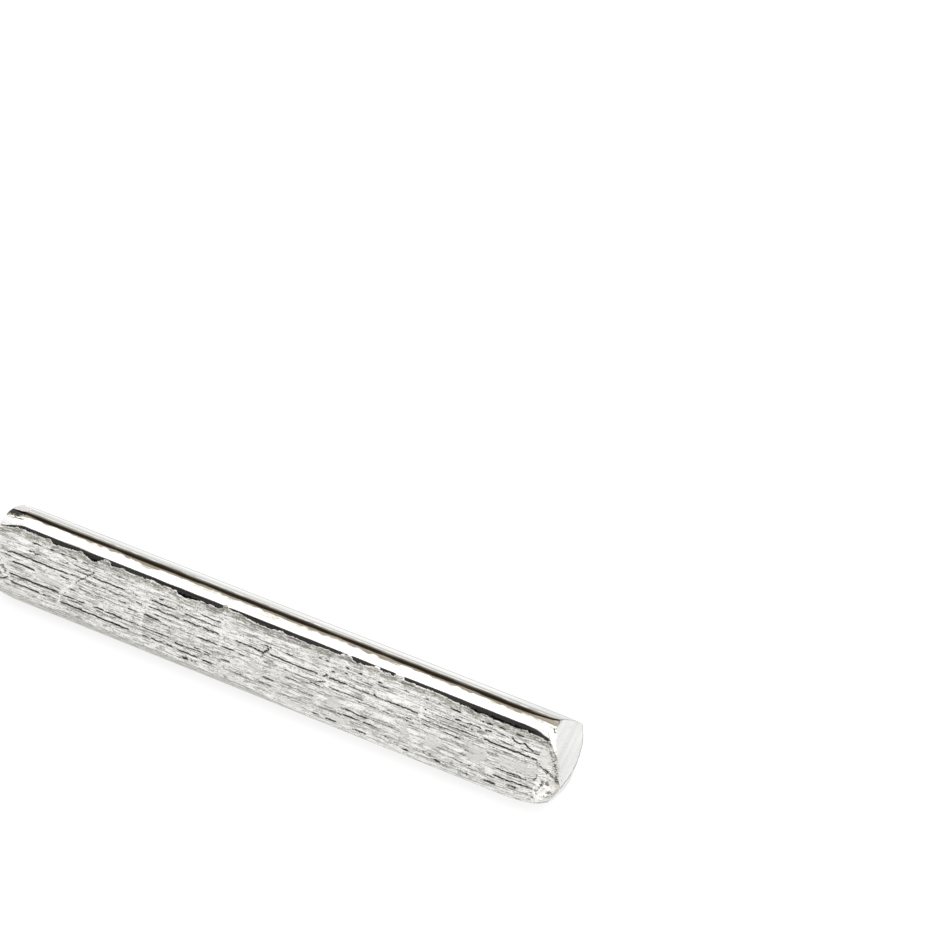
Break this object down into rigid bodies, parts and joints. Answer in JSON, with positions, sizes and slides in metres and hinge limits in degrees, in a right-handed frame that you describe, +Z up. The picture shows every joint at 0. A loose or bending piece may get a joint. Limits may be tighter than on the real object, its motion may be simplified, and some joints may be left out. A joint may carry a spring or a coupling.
{
  "type": "tin ingot",
  "caption": "Small cast bar of tin with a rounded trough section, a skimmed free face and wedge-cropped ends, lying on one side.",
  "frame": {"origin": "middle of the bar's bounding box, on the floor it lies on", "axes": "+X along the bar, +Z up, the wide skimmed face looking to -Y"},
  "size_m": [0.1, 0.0124, 0.0139],
  "materials": {
    "tin": "gloss"
  },
  "bodies": {
    "root": {"tin_ingot": "tin"}
  },
  "joints": []
}
